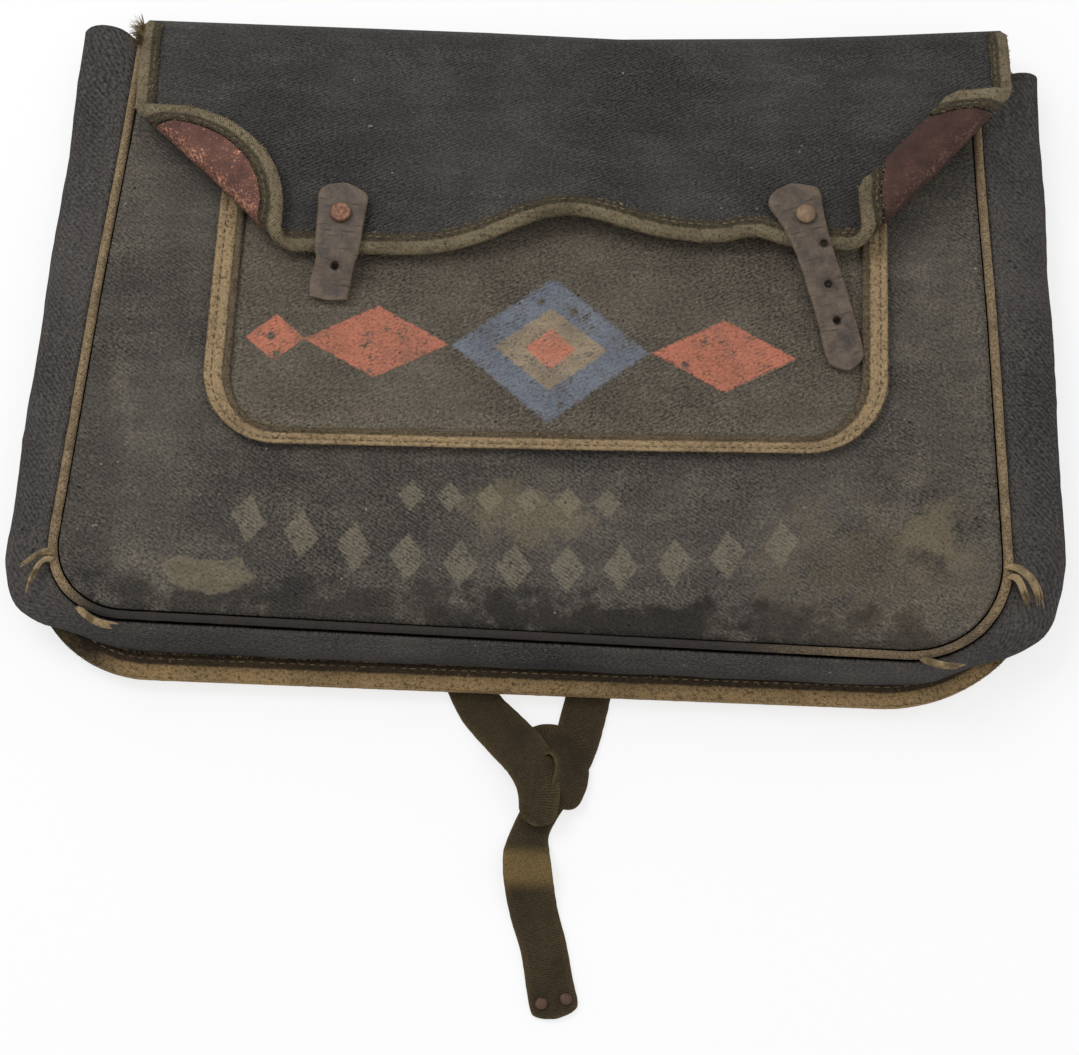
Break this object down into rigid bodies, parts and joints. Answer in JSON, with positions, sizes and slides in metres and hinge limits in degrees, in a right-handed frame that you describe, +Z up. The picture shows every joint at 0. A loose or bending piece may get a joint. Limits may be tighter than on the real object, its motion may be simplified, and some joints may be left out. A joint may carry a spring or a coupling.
{
  "type": "canvas parachute pack bag",
  "caption": "Flat canvas pack bag lying on its back, with a turned-over flap, front pocket, leather tabs and webbing straps.",
  "frame": {"origin": "centre of the box around the bag and its straps, on the surface it lies on", "axes": "+Z up out of the surface, +Y towards the flap's top turn, +X to the right seen from above"},
  "size_m": [0.3936, 0.4002, 0.0445],
  "materials": {
    "canvas": "dark navy charcoal cotton canvas, matt, worn",
    "worn_canvas": "dusty charcoal cotton canvas, stained",
    "pocket_canvas": "faded green grey cotton canvas",
    "tape": "khaki cotton tape, frayed and dirty",
    "piping_cord": "tan cord piping",
    "lining": "brown red cotton lining, rubbed",
    "leather": "worn dark brown leather",
    "webbing": "olive brown cotton webbing",
    "copper": "flaked copper",
    "dull_rivet": "dull tan metal"
  },
  "bodies": {
    "root": {"back_and_flap": "canvas", "front_panel": "worn_canvas", "gusset": "canvas", "pocket": "pocket_canvas", "pocket_binding": "tape", "flap_binding": "tape", "flap_binding_right": "tape", "body_binding": "tape", "piping": "piping_cord", "lining_left": "lining", "lining_right": "lining", "tab_left": "leather", "tab_right": "leather", "rivet_left": "copper", "rivet_right": "dull_rivet", "strap_right": "webbing", "strap_left": "webbing", "strap_loop": "webbing", "tail_rivet_left": "copper", "tail_rivet_right": "copper", "cord_end_left_long": "piping_cord", "cord_end_left_short": "piping_cord", "cord_end_right_long": "piping_cord", "cord_end_right_short": "piping_cord", "cord_end_bottom_right": "piping_cord", "cord_end_bottom_left": "piping_cord"}
  },
  "joints": []
}
